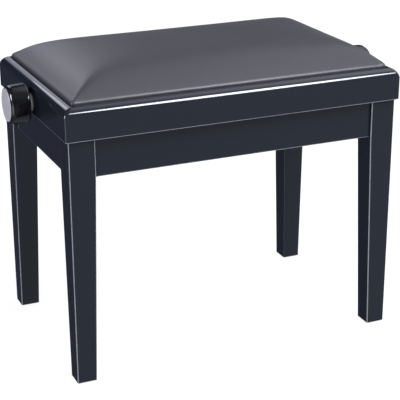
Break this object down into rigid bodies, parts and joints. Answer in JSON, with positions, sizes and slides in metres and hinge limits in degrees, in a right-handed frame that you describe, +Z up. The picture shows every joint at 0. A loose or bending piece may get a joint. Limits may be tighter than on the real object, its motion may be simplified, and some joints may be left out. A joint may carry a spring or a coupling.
{
  "type": "piano bench",
  "caption": "Height-adjustable piano bench: padded rectangular seat on a square-edged frame with tapered legs and aprons, raised by side knobs on a spindle and scissor lift.",
  "frame": {"origin": "on the floor, under the middle of the bench", "axes": "+Z up, +X to the right along the bench's long side, the front faces -Y"},
  "size_m": [0.637, 0.35, 0.482],
  "materials": {
    "black_lacquer": "black lacquer polished to a gloss",
    "bare_wood": "sawn beech, bare",
    "dowel_wood": "fluted beech",
    "zinc_steel": "zinc plated",
    "spring_steel": "blackened spring steel",
    "black_steel": "satin black paint",
    "nylon": "natural nylon",
    "glide_plastic": "matte",
    "plywood": "birch plywood, bare",
    "foam": "open-cell foam",
    "leatherette": "satin artificial leather with a fine grain",
    "brass": "machined",
    "knob_plastic": "moulded, glossy",
    "cap_silver": "satin silver"
  },
  "bodies": {
    "base": {"leg_front_left": "black_lacquer", "leg_front_right": "black_lacquer", "leg_rear_left": "black_lacquer", "leg_rear_right": "black_lacquer", "apron_front": "black_lacquer", "apron_rear": "black_lacquer", "apron_left": "black_lacquer", "apron_right": "black_lacquer", "corner_blocks": "bare_wood", "apron_dowels": "dowel_wood", "leg_bolts": "zinc_steel", "leg_bolt_washers": "zinc_steel", "leg_bolt_nuts": "zinc_steel", "foot_glides": "glide_plastic", "lower_rail_front": "black_steel", "lower_rail_rear": "black_steel", "lower_rail_screws": "zinc_steel", "lower_pivot_shaft": "zinc_steel", "lower_pivot_spacers": "zinc_steel", "lower_pivot_clips": "spring_steel"},
    "arms_a": {"arm_a_front": "black_steel", "arm_a_rear": "black_steel", "centre_pins": "zinc_steel", "upper_slide_shaft": "zinc_steel", "upper_slide_bushes": "nylon", "upper_slide_clips": "spring_steel"},
    "arms_b": {"arm_b_front": "black_steel", "arm_b_rear": "black_steel", "lower_slide_shaft": "zinc_steel", "lower_slide_bushes": "nylon", "lower_slide_clips": "spring_steel"},
    "seat": {"seat_rail_front": "black_lacquer", "seat_rail_rear": "black_lacquer", "seat_rail_left": "black_lacquer", "seat_rail_right": "black_lacquer", "frame_corner_blocks": "bare_wood", "frame_block_screws": "zinc_steel", "seat_board": "plywood", "seat_board_screws": "zinc_steel", "cushion_foam": "foam", "cushion_cover": "leatherette", "cover_staples": "zinc_steel", "upper_rail_front": "black_steel", "upper_rail_rear": "black_steel", "upper_rail_screws": "zinc_steel", "upper_pivot_shaft": "zinc_steel", "upper_pivot_spacers": "zinc_steel", "upper_pivot_clips": "spring_steel", "spindle_bushes": "nylon"},
    "nut": {"spindle_nut": "brass"},
    "spindle_and_knobs": {"spindle": "zinc_steel", "thrust_collars": "zinc_steel", "collar_screws": "spring_steel", "knob_left": "knob_plastic", "knob_right": "knob_plastic", "knob_cap_left": "cap_silver", "knob_cap_right": "cap_silver", "knob_nuts": "zinc_steel"}
  },
  "joints": [
    {"name": "scissor_fold", "type": "hinge", "parent": "base", "child": "arms_a", "pos_m": [-0.17839, 0, 0.35], "axis": [0, -1, 0], "range_deg": [0, 14.88]},
    {"name": "scissor_cross", "type": "hinge", "parent": "arms_a", "child": "arms_b", "pos_m": [0, 0, 0.374], "axis": [0, -1, 0], "range_deg": [-29.76, 0]},
    {"name": "seat_level", "type": "hinge", "parent": "arms_b", "child": "seat", "pos_m": [-0.17839, 0, 0.398], "axis": [0, -1, 0], "range_deg": [0, 14.88]},
    {"name": "nut_level", "type": "hinge", "parent": "arms_a", "child": "nut", "pos_m": [0.17839, 0, 0.398], "axis": [0, -1, 0], "range_deg": [-14.88, 0]},
    {"name": "spindle_turn", "type": "hinge", "parent": "seat", "child": "spindle_and_knobs", "pos_m": [0, 0, 0.4124], "axis": [1, 0, 0], "range_deg": [0, 2914.8]}
  ],
  "couplings": [
    {"joint": "scissor_cross", "follows": "scissor_fold", "ratio": -2},
    {"joint": "seat_level", "follows": "scissor_fold", "ratio": 1},
    {"joint": "nut_level", "follows": "scissor_fold", "ratio": -1},
    {"joint": "spindle_turn", "follows": "scissor_fold", "ratio": 195.88}
  ]
}
